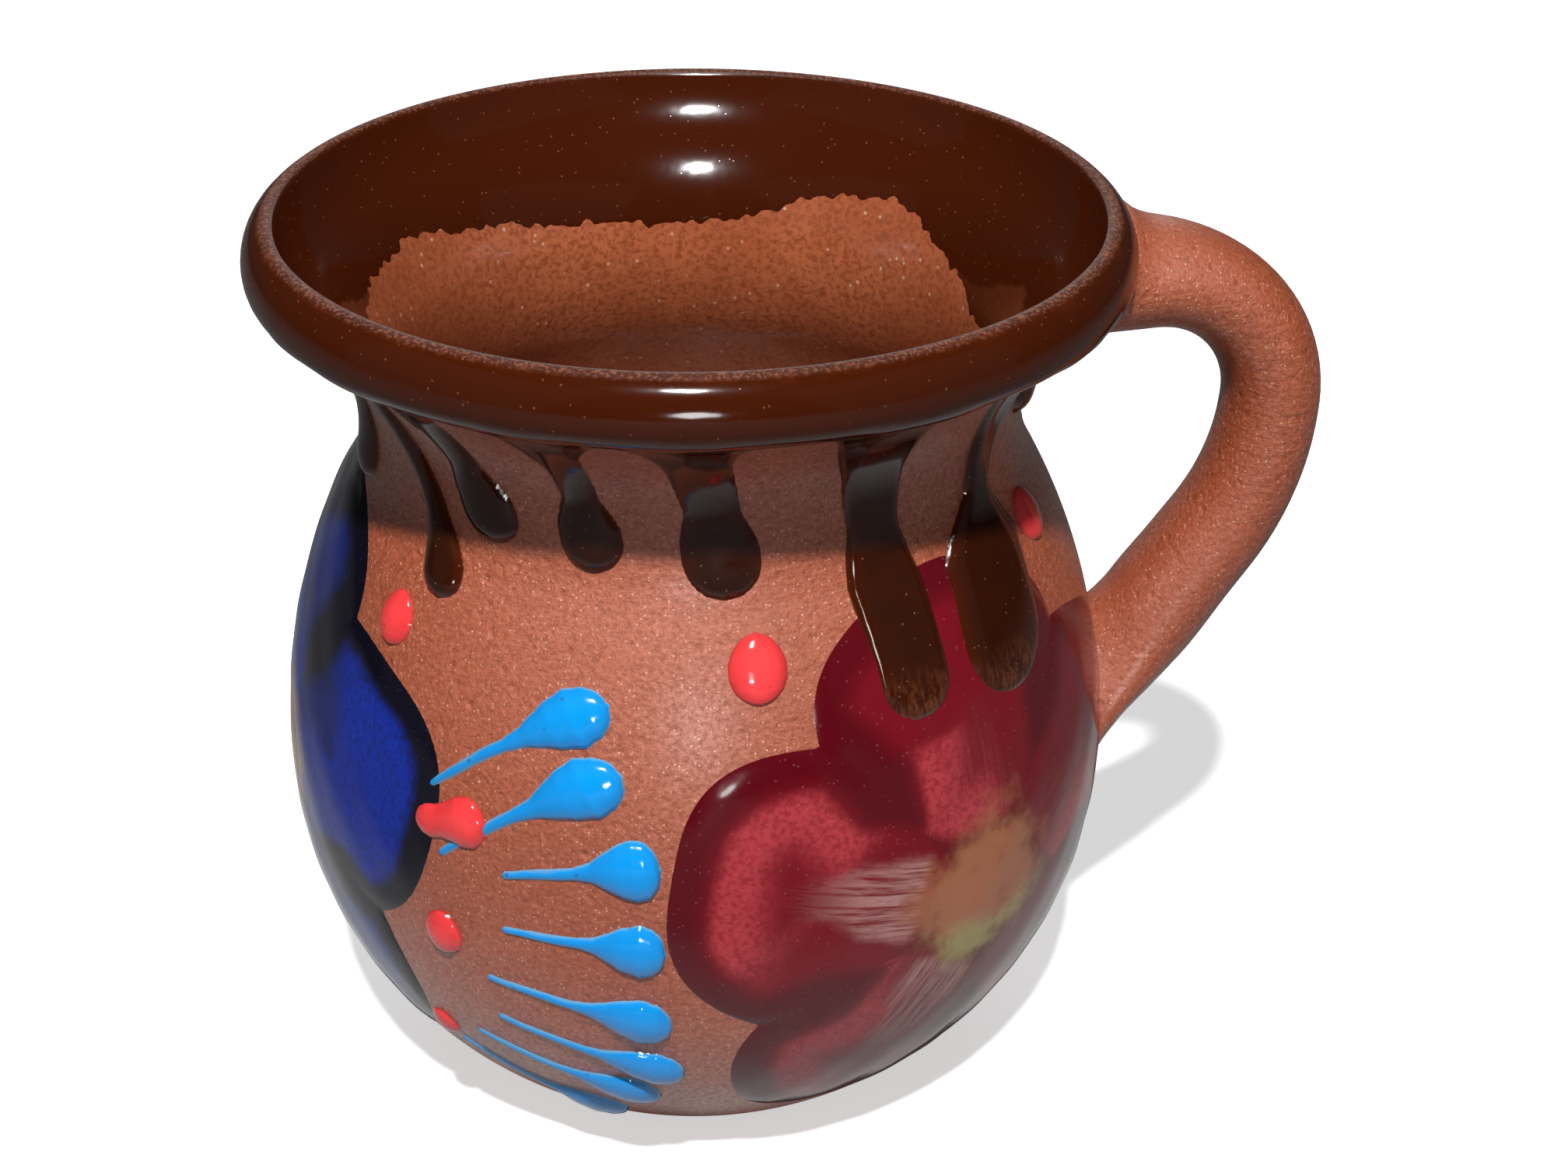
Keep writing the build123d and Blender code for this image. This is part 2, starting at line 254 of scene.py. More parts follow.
def wrapped(name, columns, rows, place, closed=False):
    """Lay a grid, move each point with place(u, v) and cut off what lies deep in the clay.

    place gets u and v from 0 to 1 and returns the points in mm, the film's height in mm and
    what else the finish reads at each point.
    """
    fresh()
    bpy.ops.mesh.primitive_grid_add(x_subdivisions=columns, y_subdivisions=rows, size=2)
    piece = named(name)
    mesh = piece.data
    flat = points_of(mesh)
    points, height, extra = place((flat[:, 0] + 1) / 2, (flat[:, 1] + 1) / 2)
    mesh.vertices.foreach_set("co", (points * MM).ravel())
    for label, values in dict(extra, film=height).items():
        carry(mesh, label, values)
    corners = np.empty(len(mesh.polygons) * 4, dtype=int)
    mesh.polygons.foreach_get("vertices", corners)
    select_faces(mesh, height[corners.reshape(-1, 4)].max(axis=1) < cut_depth)
    bpy.ops.object.mode_set(mode="EDIT")
    bpy.ops.mesh.select_mode(type="FACE")
    bpy.ops.mesh.delete(type="FACE")
    bpy.ops.mesh.select_all(action="SELECT")
    if closed:
        bpy.ops.mesh.remove_doubles(threshold=0.00001)
    bpy.ops.object.mode_set(mode="OBJECT")
    bpy.ops.object.shade_smooth()
    return piece


print("films are cut", -cut_depth, "mm under the clay")

# %% [markdown]
# ## The clay body
# The wall is one piece of clay from the foot over the lip to the floor inside.  It could be a
# cylinder, scaled ring by ring, but it was thrown on a wheel, so its outline is spun about the
# axis, like the clay itself, and the film that hides its lip can lie on the very same arcs.

# %% Clay body
clay_body = spun("clay_body_thrown", chain(foot, outer, inner))
seat(clay_body, "clay", "clay_body")
print("clay body:", len(clay_body.data.polygons), "faces")

# %% [markdown]
# ## The handle
# The potter pulled a rope of clay, bent it over and pressed both ends on, smearing the clay
# outwards.  A bevelled curve could give the rope, but not the smeared ends.  So a ring is set up
# and extruded along the loop, and each ring gets its own place, turn and size; near the wall the
# rope swells into a fillet, as smeared clay does.

# %% Sizes of the handle
handle_thick = 10.5
handle_width = 14.0
loop_drop = 8.2
bend_reach = 13.0
bend_radius = 14.5
sweep_radius = 32.0
sweep_turn = math.radians(32.0)
fall_length = 19.0
toe_radius = 26.0
toe_turn = math.radians(22.0)
# shares of the way from the lip to the toe, and of the thickness and width there
place_shares = [0.0, 0.09, 0.2, 0.36, 0.52, 0.68, 0.8, 0.9, 1.0]
thick_shares = [1.2, 1.1, 1.0, 1.0, 1.02, 1.05, 1.02, 0.6, 0.05]
width_shares = [1.45, 1.25, 1.02, 0.95, 0.98, 1.05, 1.2, 1.4, 1.2]
print("handle:", handle_thick, "mm thick,", handle_width, "mm wide")


# %% Handle line
def with_normals(points):
    """Arc length and outward normal at each point of an outline."""
    along = np.gradient(points, axis=0)
    along /= np.linalg.norm(along, axis=1)[:, None]
    steps = np.linalg.norm(np.diff(points, axis=0), axis=1)
    return np.concatenate([[0], np.cumsum(steps)]), np.stack([along[:, 1], -along[:, 0]], 1)


loop_top = rim_z - loop_drop
bend_centre = (neck_radius + bend_reach, loop_top - bend_radius)
sweep_centre = (bend_centre[0] + bend_radius - sweep_radius, bend_centre[1])
lead = np.stack([np.linspace(neck_radius + wall, bend_centre[0], 12), np.full(12, loop_top)], 1)
bend = arc(bend_centre, bend_radius, math.pi / 2, 0, 1.0)
sweep = arc(sweep_centre, sweep_radius, 0, -sweep_turn, 1.0)
fall_way = (-math.sin(sweep_turn), -math.cos(sweep_turn))
fall = sweep[-1] + np.outer(np.linspace(0, fall_length, 20), fall_way)
toe_centre = fall[-1] + toe_radius * np.array([math.cos(sweep_turn), -math.sin(sweep_turn)])
toe = arc(toe_centre, toe_radius, math.pi - sweep_turn, math.pi - sweep_turn + toe_turn, 1.0)
loop = chain(lead, bend, sweep, fall, toe)
loop_length, loop_normal = with_normals(loop)
print("handle line:", round(loop_length[-1], 1), "mm")


# %% Thickness along the handle
def eased(x, xs, ys):
    """A smooth curve through a few points."""
    xs, ys = np.array(xs), np.array(ys)
    slopes = np.gradient(ys, xs)
    k = np.clip(np.searchsorted(xs, x) - 1, 0, len(xs) - 2)
    h = xs[k + 1] - xs[k]
    t = (x - xs[k]) / h
    return (
        (2 * t**3 - 3 * t**2 + 1) * ys[k]
        + (t**3 - 2 * t**2 + t) * h * slopes[k]
        + (3 * t**2 - 2 * t**3) * ys[k + 1]
        + (t**3 - t**2) * h * slopes[k + 1]
    )


loop_share = loop_length / loop_length[-1]
half_thick = eased(loop_share, place_shares, thick_shares) * handle_thick / 2
half_width = eased(loop_share, place_shares, width_shares) * handle_width / 2
print("half thickness:", np.round(half_thick[[0, len(loop) // 2, -1]], 2))

# %% Extrude the rope
rope_sides = 56
fresh()
bpy.ops.mesh.primitive_circle_add(vertices=rope_sides, radius=1)
handle = named("handle_rope")
bpy.ops.object.mode_set(mode="EDIT")
bpy.ops.mesh.select_all(action="SELECT")
for _ in range(len(loop) - 1):
    bpy.ops.mesh.extrude_region_move(TRANSFORM_OT_translate={"value": (0, 0, 1)})
bpy.ops.object.mode_set(mode="OBJECT")
rope = points_of(handle.data)
ring = np.rint(rope[:, 2]).astype(int)
around = np.arctan2(rope[:, 1], rope[:, 0])
print("rope:", ring.max() + 1, "rings of", rope_sides)


# %% Bend the rope and smear its ends
def rope_points(swell):
    """Ring points in mm, with each oval grown by swell."""
    out = np.cos(around) * (half_thick[ring] + swell)
    wide = np.sin(around) * (half_width[ring] + swell)
    x = loop[ring, 0] + loop_normal[ring, 0] * out
    z = loop[ring, 1] + loop_normal[ring, 1] * out
    return np.stack([x, wide, z], 1)


def wall_gap(radius, height):
    """Distance in mm from points to the mug's outline, less than zero inside the clay."""
    gap = np.full(radius.shape, 1e9)
    for (r0, z0), (r1, z1) in zip(outer[:-1:2], outer[2::2]):
        length = math.hypot(r1 - r0, z1 - z0)
        ur, uz = (r1 - r0) / length, (z1 - z0) / length
        t = np.clip((radius - r0) * ur + (height - z0) * uz, 0, length)
        dr, dz = radius - (r0 + ur * t), height - (z0 + uz * t)
        away = np.hypot(dr, dz) * np.where(dr * uz - dz * ur >= 0, 1.0, -1.0)
        gap = np.where(np.abs(away) < np.abs(gap), away, gap)
    return gap


fillet_size = 3.6
most_swell = 3.0
lip_swell_share = 0.4
toe_fade = 0.2
buried_depth = 1.0
bare = rope_points(0.0)
gap = np.clip(wall_gap(np.hypot(bare[:, 0], bare[:, 1]), bare[:, 2]), 0, fillet_size)
swell = fillet_size - np.sqrt(fillet_size**2 - (fillet_size - gap) ** 2)
swell = np.minimum(swell, most_swell) * np.where(ring > len(loop) * 0.5, 1.0, lip_swell_share)
swell = swell * np.clip((1 - loop_share[ring]) / toe_fade, 0, 1)
bent = rope_points(swell)
skin = np.interp(bent[:, 2], outer[:, 1], outer[:, 0]) - buried_depth
bent[:, 0] = np.maximum(bent[:, 0], np.sqrt(np.clip(skin**2 - bent[:, 1] ** 2, 0, None)))
handle.data.vertices.foreach_set("co", (bent * MM).ravel())
bpy.ops.object.mode_set(mode="EDIT")
bpy.ops.mesh.select_all(action="SELECT")
bpy.ops.mesh.normals_make_consistent(inside=False)
bpy.ops.object.mode_set(mode="OBJECT")
bpy.ops.object.shade_smooth()
seat(handle, "clay", "handle")
print("handle:", len(handle.data.polygons), "faces, swell up to", round(float(swell.max()), 2))

# %% [markdown]
# ## The brown dip and its runs
# The lip was dipped upside down, so the glaze ran back down the neck in drops once the mug
# stood upright.  Drops could be separate blobs, but melted glaze has no seams.  So the whole dip
# is one sheet: an even film on the lip, a dome for each run, and a ragged line in the mouth.

# %% Runs of glaze
# azimuth at the lip and at the end, run of the end up the wall, half widths of neck and bulb
runs = [
    (-72.0, -73.0, 38.5, 3.0, 3.6),
    (-60.0, -42.0, 33.4, 1.6, 2.7),
    (-45.0, -34.0, 40.6, 2.2, 3.5),
    (-21.0, -16.3, 39.8, 1.9, 3.2),
    (-1.0, 4.3, 37.6, 2.7, 3.8),
    (27.0, 31.5, 22.4, 2.9, 4.2),
    (56.0, 49.0, 20.6, 2.1, 6.6),
    (69.0, 70.0, 46.0, 2.4, 2.8),
    (113.0, 112.0, 38.0, 2.8, 3.3),
    (133.0, 134.0, 28.0, 2.6, 4.4),
    (155.0, 153.0, 41.0, 3.0, 3.4),
    (177.0, 178.0, 35.0, 2.5, 3.0),
    (200.0, 202.0, 40.0, 2.8, 3.3),
    (222.0, 221.0, 31.0, 2.6, 3.8),
    (247.0, 249.0, 39.5, 3.1, 3.5),
]
# a run that ends below long_run is long and flat, and its end is frayed
long_run = 30.0
dip_edge = lip_run - 1.0
no_glaze = -2.0


def turn_gap(a, b):
    """Difference of two azimuths, from -180 to 180 degrees."""
    return (a - b + 180) % 360 - 180


def one_run(turn, length, radius, start, end, low_run, neck_half, bulb_half):
    """Height of one run over the wall, and each point's way from its middle (1 at its edge)."""
    is_long = low_run < long_run
    reach = dip_edge - low_run
    share = np.clip((dip_edge - length) / reach, 0, 1)
    ease = share * share * (3 - 2 * share)
    across = np.radians(turn_gap(turn, start + (end - start) * ease)) * radius
    # the run is wide at the lip, narrow on the way and widest in the ball at its end
    ball_share = 0.62 if is_long else 1 - 1.5 * bulb_half / reach
    bulge = bulb_half / neck_half
    places = [0, 0.12, 0.3, ball_share - 0.15, ball_share, 1]
    half = neck_half * np.interp(share, places, [2.8, 1.9, 1.2, 1.0, bulge, bulge])
    past = np.clip(low_run + bulb_half - length, 0, None) / bulb_half
    past = past + np.clip(length - dip_edge, 0, None) / 3.0
    spread = np.sqrt((across / half) ** 2 + past**2)
    rise = np.interp(share, [0, 0.3, 0.6, 1], [0.4, 0.65, 0.8, 0.8 if is_long else 1.5])
    flat = 6 if is_long else 2
    dome = rise * np.sign(1 - spread) * np.abs(1 - np.minimum(spread, 3) ** flat) ** 0.7
    return dome, spread


print("runs:", len(runs), "of which long:", sum(run[2] < long_run for run in runs))

# %% Line of the dip
# the sheet starts at a run on the shoulder and ends a small turn below the narrowest of the mouth
dip_start = 14.0
dip_end_turn = 0.1
# azimuth and height of the brown's line inside the mouth
mouth_line = np.array([
    (-180, 83.7), (-160, 84.2), (-142, 85.8), (-127, 87.5), (-115, 88.7), (-60, 86.0),
    (0, 85.0), (60, 84.0), (106, 81.5), (112, 83.4), (128, 87.0), (138, 88.8),
    (146, 88.5), (153, 87.6), (162, 85.9), (175, 83.7), (180, 83.7),
])
dip_path = chain(
    arc((shoulder_x, belly_z), shoulder_arc, dip_start / shoulder_arc, blend, 0.5),
    arc((neck_x, neck_z), neck_arc, math.pi + blend, math.pi - flare, 0.5),
    curl,
    face,
    flare_in,
    arc((neck_x, neck_z), deep_neck, math.pi - mouth, math.pi + dip_end_turn, 0.5),
)
dip_length, dip_normal = with_normals(dip_path)
dip_length = dip_length + dip_start
crest_length = dip_length[np.argmax(dip_path[:, 1])]
mouth_rows = np.flatnonzero(dip_length > crest_length + 2)
mouth_rows = mouth_rows[np.argsort(dip_path[mouth_rows, 1])]
print("dip line:", round(dip_length[-1] - dip_start, 1), "mm")

# %% Heights of a film
phase_span = 6.283


def ripple(turn, seed, waves):
    """A ragged line round the mug: waves of a count and a size, with seeded phases."""
    rng = np.random.default_rng(seed)
    total = np.zeros_like(turn)
    for count, size in waves:
        total += size * np.sin(np.radians(turn) * count + rng.uniform(0, phase_span))
    return total


def soften(a, b, width):
    """The larger of two heights, rounded where they meet."""
    share = np.clip(0.5 + 0.5 * (a - b) / width, 0, 1)
    return b + (a - b) * share + width * share * (1 - share)


def pooled(inside, thick, ease, sink):
    """Height of a film that is thick inside its edge and sinks into the clay outside it."""
    full = thick * (1 - np.exp(-np.clip(inside, 0, None) / ease))
    return np.where(inside > 0, full, sink * inside)


def round_mug(turn, radius, height):
    """Points in mm at azimuths, radii and heights about the mug's axis."""
    spoke = np.radians(turn)
    return np.stack([radius * np.sin(spoke), -radius * np.cos(spoke), height], 1)


print("two films of 1 mm meet at", soften(1.0, 1.0, 0.35), "mm")

# %% The sheet of brown
dip_film = 0.24
dip_ease = 0.5
film_merge = 0.35
crest_wear = 0.1
web_drop = 9.5
web_spread = 7.0
fray_top = 6.0
fray_span = 4.5


def dip_place(u, v):
    """Where each point of the sheet goes, how high it stands and where a run's end frays."""
    turn = u * 360 - 180
    length = dip_start + v * (dip_length[-1] - dip_start)
    r, z = [np.interp(length, dip_length, column) for column in dip_path.T]
    nr, nz = [np.interp(length, dip_length, column) for column in dip_normal.T]
    lower = dip_edge + ripple(turn, 4, [(7, 0.3), (13, 0.35), (29, 0.15)])
    fringe = np.zeros(turn.shape)
    drops = np.full(turn.shape, no_glaze)
    for run in runs:
        start, low_run = run[0], run[2]
        dome, spread = one_run(turn, length, r, *run)
        drops = np.maximum(drops, dome)
        lower = lower - web_drop * np.exp(-((turn_gap(turn, start) / web_spread) ** 2))
        if low_run < long_run:
            low_end = np.clip((low_run + fray_top - length) / fray_span, 0, 1)
            fringe = np.maximum(fringe, low_end * (spread < 1.3))
    edge_z = np.interp(turn, mouth_line[:, 0], mouth_line[:, 1])
    edge_z = edge_z + ripple(turn, 9, [(17, 0.22), (41, 0.16), (67, 0.15), (97, 0.13), (131, 0.1)])
    upper = np.interp(edge_z, dip_path[mouth_rows, 1], dip_length[mouth_rows])
    inside = np.minimum(length - lower, upper - length)
    coat = pooled(inside, dip_film, dip_ease, 0.35)
    coat = coat - crest_wear * np.exp(-((length - crest_length) ** 2)) * (inside > 0)
    height = np.clip(soften(drops, coat, film_merge), deepest, None)
    return round_mug(turn, r + nr * height, z + nz * height), height, {"fringe": fringe}


rim_dip = wrapped("rim_dip", 660, 140, dip_place, closed=True)
seat(rim_dip, "brown_glaze", "rim_glaze", *[f"glaze_drip_{n + 1}" for n in range(len(runs))])
print("brown dip:", len(rim_dip.data.polygons), "faces")

# %% [markdown]
# ## The lining
# Under the brown, the bowl is lined with clear glaze.  It could be a coat in the clay's finish,
# but it is a layer of its own on the mug, so it is spun from the same outline, a hair inside.

# %% Bowl lining
lining_top = 90.5
lining_film = 0.18
lining_points = inner[inner[:, 1] < lining_top]
lining_points = lining_points + with_normals(lining_points)[1] * lining_film
lining_points[-1, 0] = 0.0
bowl_lining = spun("bowl_lining", lining_points)
seat(bowl_lining, "clear_glaze", "bowl_glaze")
print("lining:", len(bowl_lining.data.polygons), "faces")

# %% [markdown]
# ## The flowers
# Each flower is a pool of glaze with five round petals that ran together.  Five discs would leave
# cracks between them, so one grid is laid over the belly and raised where a petal is.  Each point
# remembers how far it lies from the edge of its petal and where it lies round the eye, so that
# the paint can follow the petals.


# %% Places on the wall
def wall_point(run):
    """Radius, height and outward normal of the outside wall, run mm up from the belly."""
    run = np.asarray(run, dtype=float)
    low, high = run <= 0, run > shoulder_run
    a = np.where(low, run / belly_radius, run / shoulder_arc)
    b = (run - shoulder_run) / neck_arc - blend
    r = np.where(low, belly_radius * np.cos(a), shoulder_x + shoulder_arc * np.cos(a))
    z = belly_z + np.where(low, belly_radius, shoulder_arc) * np.sin(a)
    r = np.where(high, neck_x - neck_arc * np.cos(b), r)
    z = np.where(high, neck_z + neck_arc * np.sin(b), z)
    nr = np.where(high, np.cos(b), np.cos(a))
    nz = np.where(high, -np.sin(b), np.sin(a))
    return r, z, nr, nz


def on_wall(turn, run, height):
    """Points in mm on the wall at an azimuth and run, lifted by a height."""
    r, z, nr, nz = wall_point(run)
    return round_mug(turn, r + nr * height, z + nz * height)


print("neck's radius:", round(float(wall_point(shoulder_run + neck_arc * blend)[0]), 2))

# %% Flower pools
petal_count = 5
petal_step = 360 / petal_count
petal_radius = 16.56
petal_reach = 20.0
petal_turn = 93.0
petal_film = 0.34
petal_ease = 1.4
eye_radius = 9.0
patch_half = 40.0
# how far each petal's bright stroke lies round from its outer end, in radians, and how narrow it is
stroke_turns = [3.72, 0.5, 1.2, 0.7, 1.2]
stroke_pinch = [1.8, 1.0, 1.2, 1.0, 1.0]


def flower_place(azimuth, eye_run, hand):
    """Where each point of a flower's grid goes, and what its paint needs to know."""

    def place(u, v):
        across, climb = (2 * u - 1) * patch_half * hand, (2 * v - 1) * patch_half
        run = eye_run + climb
        turn = azimuth + np.degrees(hand * across / belly_radius)
        squeeze = wall_point(run)[0] / belly_radius
        radius = np.hypot(across, climb)
        deep = eye_radius - radius
        owner, lit, along, aside = np.zeros((4, u.size))
        for number in range(petal_count):
            way = math.radians(petal_turn + petal_step * number)
            dx = (across - petal_reach * math.cos(way)) * squeeze
            dy = climb - petal_reach * math.sin(way)
            bearing = np.arctan2(dy, dx)
            wobble = 0.5 * np.sin(3 * bearing + number * 1.7)
            wobble = wobble + 0.35 * np.sin(5 * bearing + number * 2.9)
            inside = petal_radius + wobble - np.hypot(dx, dy)
            swing = (bearing - way + stroke_turns[number] + math.pi) % (2 * math.pi) - math.pi
            stroke = np.cos(np.clip(stroke_pinch[number] * np.abs(swing), 0, math.pi))
            owned = inside > deep
            owner = np.where(owned, number, owner)
            lit = np.where(owned, stroke, lit)
            along = np.where(owned, across * math.cos(way) + climb * math.sin(way), along)
            aside = np.where(owned, climb * math.cos(way) - across * math.sin(way), aside)
            deep = np.maximum(deep, inside)
        off = (np.degrees(np.arctan2(climb, across)) - petal_turn) % petal_step - petal_step / 2
        seam = radius * np.sin(np.radians(np.abs(off))) + np.clip((20 - radius) * 0.6, 0, 8)
        swell = 0.05 * np.sin(across * 0.7) * np.sin(climb * 0.6) * (deep > 1)
        height = np.clip(pooled(deep, petal_film, petal_ease, 0.3) + swell, deepest, None)
        extra = {
            "edge": np.minimum(deep, seam),
            "lit": lit,
            "flower": np.stack([across, climb, owner], 1),
            "brush": np.stack([along, np.abs(aside), owner], 1),
        }
        return on_wall(turn, run, height), height, extra

    return place


# azimuth and run of the eye, and 1 or -1 for the hand of the pattern
flowers = {"red": (40.0, 0.92, 1), "blue": (-80.0, 2.99, 1), "rear": (140.0, 0.92, -1)}
flower_pieces = {}
for colour, spot in flowers.items():
    pool = wrapped(f"{colour}_flower_pool", 170, 170, flower_place(*spot))
    slot = "blue_petal" if colour == "blue" else "red_petal"
    seat(pool, slot, f"{colour}_flower_petals", f"{colour}_flower_eye")
    flower_pieces[colour] = pool
print("flowers:", {name: len(pool.data.polygons) for name, pool in flower_pieces.items()})

# %% [markdown]
# ## Teardrops and dots
# These are trailed from a nozzle: the tool touches down thin, swells and lifts off round.  A
# sphere that is pulled long would stand off the round belly, so each is a small grid along its
# own line on the wall, domed across.

# %% Places and widths of the drops
# teardrops: azimuth and run of the thin tail and of the round tip, and the half width; runs and
# widths are shares of the belly's radius, as for the dots
teardrops = [
    (-37.0, 0.322, -13.3, 0.591, 0.057),
    (-35.0, 0.165, -10.8, 0.443, 0.059),
    (-25.5, 0.165, -4.9, 0.235, 0.061),
    (-25.7, 0.024, -4.3, 0.020, 0.057),
    (-28.7, -0.130, -3.9, -0.200, 0.057),
    (-28.3, -0.259, -3.1, -0.391, 0.054),
    (-33.5, -0.365, -7.4, -0.522, 0.054),
    (-39.0, -0.465, -15.0, -0.685, 0.052),
]
# dots: azimuth and run of the middle, half width and half height
dots = [
    (-48.8, 0.643, 0.052, 0.063),
    (8.4, 0.670, 0.063, 0.076),
    (67.0, 0.761, 0.057, 0.065),
    (-34.3, 0.248, 0.048, 0.057),
    (-34.9, -0.043, 0.052, 0.057),
    (-41.0, -0.417, 0.041, 0.046),
]
# the fourth dot is two dabs in one, laid sideways
double_dot = 4
double_ends = [(-4.6, -0.02), (6.2, 0.03)]
double_swell = 1.25
dab_lean = 0.01
# the upper teardrops are bowed more than the lower ones, and no trail is quite even
upper_drops = 2
upper_bow = 0.9
lower_bow = 0.35
unevenness = 0.014
# shares of the way along a trail, and of its half width there
drop_places = [0.0, 0.02, 0.3, 0.48, 0.58, 0.66, 0.74, 0.84, 0.92, 0.965, 0.985, 1.0]
drop_widths = [0.0, 0.16, 0.2, 0.26, 0.4, 0.7, 1.03, 1.24, 1.08, 0.78, 0.54, 0.0]
dab_places = [0.0, 0.01, 0.04, 0.1, 0.2, 0.35, 0.5, 0.65, 0.8, 0.9, 0.96, 0.99, 1.0]
dab_widths = [0.0, 0.22, 0.42, 0.63, 0.83, 0.97, 1.0, 0.92, 0.74, 0.53, 0.34, 0.18, 0.0]
double_widths = [0.0, 0.2, 0.4, 0.6, 0.72, 0.66, 0.8, 1.0, 1.02, 0.8, 0.52, 0.28, 0.0]
print("on each side:", len(teardrops), "teardrops and", len(dots), "dots")

# %% One trailed line
bead_film = 0.14
bead_rise = 0.34


def trail_place(tail, tip, half, places, widths, bow=0.0, uneven=0.0, seed=0):
    """How a trail lies from tail to tip (azimuth and run), given half its greatest width."""
    phase = np.random.default_rng(seed).uniform(0, phase_span, 3)
    middle_radius = float(wall_point((tail[1] + tip[1]) / 2)[0])
    reach_x = math.radians(tip[0] - tail[0]) * middle_radius
    reach_y = tip[1] - tail[1]
    length = math.hypot(reach_x, reach_y)
    ux, uy = reach_x / length, reach_y / length

    def place(u, v):
        along = -1.0 + u * (length + 2.0)
        across = (2 * v - 1) * (1.3 * half + 0.8)
        share = np.clip(along / length, 0, 1)
        width = half * np.interp(share, places, widths) + 1e-6
        shiver = np.sin(along * 1.3 + phase[0]) + 0.8 * np.sin(along * 2.9 + phase[1])
        width = width * (1 + uneven * shiver)
        swing = bow * np.sin(math.pi * share) + 2.4 * uneven * np.sin(along * 0.9 + phase[2])
        beyond = np.maximum(np.abs(across) - width, np.maximum(-along, along - length))
        dome = np.sqrt(np.clip(1 - (across / width) ** 2, 0, 1)) ** 1.2
        bead = (bead_rise * width + bead_film) * dome
        height = np.clip(np.where(beyond < 0, bead, -0.5 * beyond - 0.02), deepest, None)
        side = across + swing
        run = tail[1] + uy * along + ux * side
        turn = tail[0] + np.degrees((ux * along - uy * side) / wall_point(run)[0])
        return on_wall(turn, run, height), height, {}

    return place


print("a bead rises", bead_rise, "of its half width over", bead_film, "mm")


# %% Lines of one side
def facing(side, turn):
    """An azimuth of the front, or its mirrored place on the back."""
    return 180 - turn if side == "back" else turn


def teardrop_lines(side):
    """Name and line of each teardrop on one side of the mug."""
    for number, (tail_turn, tail, tip_turn, tip, half) in enumerate(teardrops, 1):
        ends = [(tail_turn, tail), (tip_turn, tip)]
        ends = [(facing(side, turn), run * belly_radius) for turn, run in ends]
        bow = upper_bow if number <= upper_drops else lower_bow
        size = half * belly_radius
        line = trail_place(*ends, size, drop_places, drop_widths, bow, unevenness, number)
        yield f"teardrop_{side}_{number}", line


def dot_lines(side):
    """Name and line of each dot on one side of the mug."""
    for number, (turn, run, half, tall) in enumerate(dots, 1):
        middle = facing(side, turn)
        ends = [(middle, run - tall), (middle + dab_lean, run + tall)]
        widths = dab_widths
        size = half * belly_radius
        if number == double_dot:
            ends = [(facing(side, turn + way), run + rise) for way, rise in double_ends]
            widths = double_widths
            size = double_swell * size
        ends = [(end_turn, end_run * belly_radius) for end_turn, end_run in ends]
        yield f"red_dot_{side}_{number}", trail_place(*ends, size, dab_places, widths)


print("front:", [name for name, _ in [*teardrop_lines("front"), *dot_lines("front")]])

# %% Teardrops and dots
sky_drops = []
red_dabs = []
for side in ("front", "back"):
    for name, line in teardrop_lines(side):
        drop = wrapped(name + "_trail", 110, 36, line)
        seat(drop, "sky_blue_glaze", name)
        sky_drops.append(drop)
    for name, line in dot_lines(side):
        dab = wrapped(name + "_dab", 52, 44, line)
        seat(dab, "red_dot_glaze", name)
        red_dabs.append(dab)
print("trailed pieces:", len(sky_drops), "teardrops and", len(red_dabs), "dots")

# %% [markdown]
# ## Finishes
# The clay is sandy with tiny glints; each glaze is glossy, darker where it is thick and specked
# where grit melted out.  Pictures of clay could be wrapped on, but noise that reads the piece's
# own places has no seams.  Grit and grain serve more than one finish, so each is a node group.


